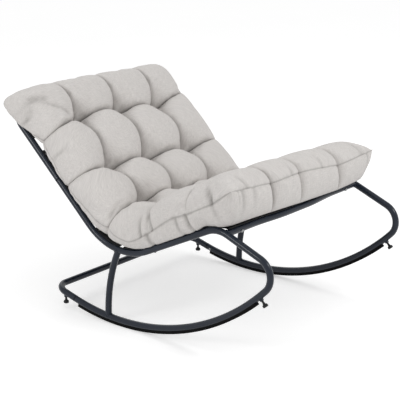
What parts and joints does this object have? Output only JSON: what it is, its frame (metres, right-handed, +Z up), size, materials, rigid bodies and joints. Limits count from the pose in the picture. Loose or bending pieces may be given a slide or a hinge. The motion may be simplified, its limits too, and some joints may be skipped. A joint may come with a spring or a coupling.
{
  "type": "outdoor rocking chair",
  "caption": "Low outdoor rocking lounge chair: bent steel tube sides on rockers, black slings, a thick tufted pad and screw feet as rocking stops.",
  "frame": {"origin": "On the floor, midway between the two rockers and under their lowest points.", "axes": "X across the chair, the sitter's left hand side at +X; -Y is the way the sitter faces; +Z up."},
  "size_m": [0.737, 1.1008, 0.7369],
  "materials": {
    "frame_paint": "satin",
    "fastener_steel": "satin",
    "strip_rubber": "matte",
    "sling_fabric": "matte",
    "foot_plastic": "matte",
    "cushion_fabric": "matte"
  },
  "bodies": {
    "frame": {"left_side_frame": "frame_paint", "right_side_frame": "frame_paint", "left_post": "frame_paint", "right_post": "frame_paint", "left_rocker_strip": "strip_rubber", "right_rocker_strip": "strip_rubber", "front_left_stub": "frame_paint", "front_right_stub": "frame_paint", "seat_left_stub": "frame_paint", "seat_right_stub": "frame_paint", "back_top_frame": "frame_paint", "rear_crossbar": "frame_paint", "front_crossbar": "frame_paint", "seat_crossbar": "frame_paint", "crossbar_bolts": "fastener_steel", "crossbar_nuts": "fastener_steel", "joint_screws": "fastener_steel", "top_strap": "sling_fabric", "back_sling": "sling_fabric", "bend_strap": "sling_fabric", "seat_sling": "sling_fabric", "hem_strips": "fastener_steel", "sling_screws": "fastener_steel", "foot_bosses": "frame_paint", "cushion": "cushion_fabric"},
    "front_left_pad": {"front_left_foot_pad": "foot_plastic"},
    "front_left_stud": {"front_left_foot_stud": "fastener_steel"},
    "front_right_pad": {"front_right_foot_pad": "foot_plastic"},
    "front_right_stud": {"front_right_foot_stud": "fastener_steel"},
    "rear_left_pad": {"rear_left_foot_pad": "foot_plastic"},
    "rear_left_stud": {"rear_left_foot_stud": "fastener_steel"},
    "rear_right_pad": {"rear_right_foot_pad": "foot_plastic"},
    "rear_right_stud": {"rear_right_foot_stud": "fastener_steel"}
  },
  "joints": [
    {"name": "front_left_height", "type": "slide", "parent": "frame", "child": "front_left_pad", "axis": [0, -0.6772, -0.7358], "range_m": [-0.005, 0.005]},
    {"name": "front_left_screw", "type": "hinge", "parent": "front_left_pad", "child": "front_left_stud", "pos_m": [-0.3575, -0.55122, 0.23305], "axis": [0, -0.6772, -0.7358], "range_deg": [-1441, 1441]},
    {"name": "front_right_height", "type": "slide", "parent": "frame", "child": "front_right_pad", "axis": [0, -0.6772, -0.7358], "range_m": [-0.005, 0.005]},
    {"name": "front_right_screw", "type": "hinge", "parent": "front_right_pad", "child": "front_right_stud", "pos_m": [0.3575, -0.55122, 0.23305], "axis": [0, -0.6772, -0.7358], "range_deg": [-1441, 1441]},
    {"name": "rear_left_height", "type": "slide", "parent": "frame", "child": "rear_left_pad", "axis": [0, 0, -1], "range_m": [-0.005, 0.005]},
    {"name": "rear_left_screw", "type": "hinge", "parent": "rear_left_pad", "child": "rear_left_stud", "pos_m": [-0.3575, 0.26109, 0.05952], "axis": [0, 0, -1], "range_deg": [-1441, 1441]},
    {"name": "rear_right_height", "type": "slide", "parent": "frame", "child": "rear_right_pad", "axis": [0, 0, -1], "range_m": [-0.005, 0.005]},
    {"name": "rear_right_screw", "type": "hinge", "parent": "rear_right_pad", "child": "rear_right_stud", "pos_m": [0.3575, 0.26109, 0.05952], "axis": [0, 0, -1], "range_deg": [-1441, 1441]}
  ],
  "couplings": [
    {"joint": "front_left_screw", "follows": "front_left_height", "rad_per_m": 5026.5},
    {"joint": "front_right_screw", "follows": "front_right_height", "rad_per_m": 5026.5},
    {"joint": "rear_left_screw", "follows": "rear_left_height", "rad_per_m": 5026.5},
    {"joint": "rear_right_screw", "follows": "rear_right_height", "rad_per_m": 5026.5}
  ]
}
